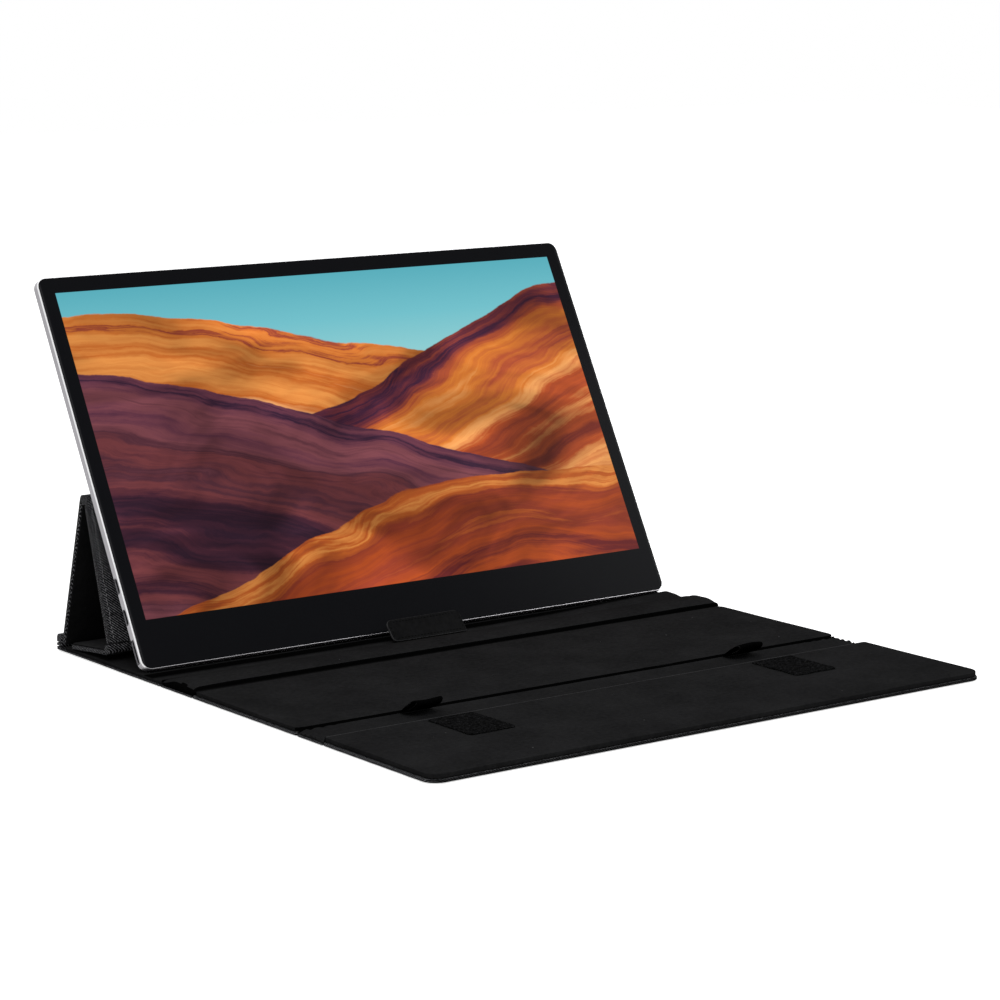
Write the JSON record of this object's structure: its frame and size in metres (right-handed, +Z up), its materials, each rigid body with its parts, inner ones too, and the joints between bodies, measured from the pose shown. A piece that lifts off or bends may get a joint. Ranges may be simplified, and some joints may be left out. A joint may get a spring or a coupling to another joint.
{
  "type": "portable monitor with folio cover",
  "caption": "Thin portable monitor leaning on the triangular folded stand of its soft folio cover, laid open on the table.",
  "frame": {"origin": "on the table plane, straight below the screen's lower front edge and centred across the width", "axes": "X to the right along the screen's width, Y from the viewer to the back, Z up from the table"},
  "size_m": [0.3646, 0.3841, 0.2078],
  "materials": {
    "glossy_glass": "glossy black front glass over the display",
    "display_module": "dark display module",
    "plate_metal": "plain sheet metal",
    "housing_metal": "fine satin light silver",
    "board_green": "green circuit board",
    "socket_steel": "bright socket shells, screws and pins",
    "black_plastic": "matt black plastic",
    "ribbon_amber": "amber flexible cable",
    "magnet_steel": "plain magnets",
    "woven_fabric": "dark diagonal woven outer fabric",
    "leatherette": "near-black grained lining",
    "board_card": "stiff panel board",
    "pad_foam": "firm foam pad",
    "ribbon_black": "black woven ribbon",
    "hook_black": "black hook tape"
  },
  "bodies": {
    "base": {"base_outer": "woven_fabric", "base_board": "board_card", "base_lining": "leatherette", "rear_fold": "woven_fabric"},
    "tab": {"stitched_tab": "leatherette"},
    "spine": {"spine_outer": "woven_fabric", "spine_pad": "pad_foam", "spine_lining": "leatherette"},
    "inner_panel": {"inner_outer": "woven_fabric", "inner_board": "board_card", "inner_lining": "leatherette"},
    "middle_spine": {"middle_outer": "woven_fabric", "middle_lining": "leatherette", "left_pull_loop": "ribbon_black", "right_pull_loop": "ribbon_black"},
    "front_panel": {"front_outer": "woven_fabric", "front_board": "board_card", "front_lining": "leatherette", "left_hook_patch": "hook_black", "right_hook_patch": "hook_black"},
    "back_leg": {"back_leg_outer": "woven_fabric", "back_leg_board": "board_card", "back_leg_lining": "leatherette", "leg_magnets": "magnet_steel", "apex_fold": "woven_fabric"},
    "front_leg": {"front_leg_outer": "woven_fabric", "front_leg_board": "board_card", "front_leg_lining": "leatherette", "foot_fold": "woven_fabric"},
    "foot_flap": {"foot_flap_outer": "woven_fabric", "foot_flap_board": "board_card", "foot_flap_lining": "leatherette"},
    "monitor": {"cover_glass": "glossy_glass", "lcd_panel": "display_module", "mid_plate": "plate_metal", "rear_housing": "housing_metal", "main_board": "board_green", "board_screws": "socket_steel", "upper_usb_socket": "socket_steel", "lower_usb_socket": "socket_steel", "video_socket": "socket_steel", "headphone_socket": "black_plastic", "control_board": "board_green", "left_speaker": "black_plastic", "right_speaker": "black_plastic", "display_ribbon": "ribbon_amber", "control_ribbon": "ribbon_amber", "housing_magnets": "magnet_steel", "rocker_pin": "socket_steel"},
    "power_button": {"power_button": "housing_metal"},
    "menu_rocker": {"menu_rocker": "housing_metal"}
  },
  "joints": [
    {"name": "spine_fold", "type": "hinge", "parent": "base", "child": "spine", "pos_m": [0, -0.018, 0.0038], "axis": [-1, 0, 0], "range_deg": [0, 115]},
    {"name": "inner_fold", "type": "hinge", "parent": "spine", "child": "inner_panel", "pos_m": [0, -0.0508, 0.0062], "axis": [1, 0, 0], "range_deg": [-90, 0]},
    {"name": "middle_fold", "type": "hinge", "parent": "inner_panel", "child": "middle_spine", "pos_m": [0, -0.152, 0.0041], "axis": [1, 0, 0], "range_deg": [-90, 0]},
    {"name": "front_fold", "type": "hinge", "parent": "middle_spine", "child": "front_panel", "pos_m": [0, -0.1757, 0.0046], "axis": [1, 0, 0], "range_deg": [-100, 0]},
    {"name": "tab_fold", "type": "hinge", "parent": "base", "child": "tab", "pos_m": [-0.005, -0.017, 0.0038], "axis": [-1, 0, 0], "range_deg": [-60, 48]},
    {"name": "screen_tilt", "type": "hinge", "parent": "base", "child": "monitor", "pos_m": [0, 0.00447, 0.00505], "axis": [-1, 0, 0], "range_deg": [-3.2, 0.9]},
    {"name": "back_leg_fold", "type": "hinge", "parent": "base", "child": "back_leg", "pos_m": [0, 0.0866, 0.0032], "axis": [-1, 0, 0], "range_deg": [-5.2, 1.6]},
    {"name": "front_leg_fold", "type": "hinge", "parent": "back_leg", "child": "front_leg", "pos_m": [0, 0.06192, 0.09037], "axis": [-1, 0, 0], "range_deg": [-3.1, 10.6]},
    {"name": "foot_flap_fold", "type": "hinge", "parent": "front_leg", "child": "foot_flap", "pos_m": [0, 0.0386, 0.0101], "axis": [-1, 0, 0], "range_deg": [-5.5, 1.7]},
    {"name": "power_press", "type": "slide", "parent": "monitor", "child": "power_button", "axis": [-1, 0, 0], "range_m": [0, 0.0004], "stiffness_N_per_m": 900},
    {"name": "menu_rock", "type": "hinge", "parent": "monitor", "child": "menu_rocker", "pos_m": [0.1785, 0.02109, 0.03699], "axis": [0, -0.878, 0.4787], "range_deg": [-2.5, 2.5], "stiffness_Nm_per_rad": 0.05}
  ],
  "couplings": [
    {"joint": "back_leg_fold", "follows": "screen_tilt", "ratio": 1.565},
    {"joint": "front_leg_fold", "follows": "screen_tilt", "ratio": -3.2169},
    {"joint": "foot_flap_fold", "follows": "screen_tilt", "ratio": 1.6519}
  ]
}
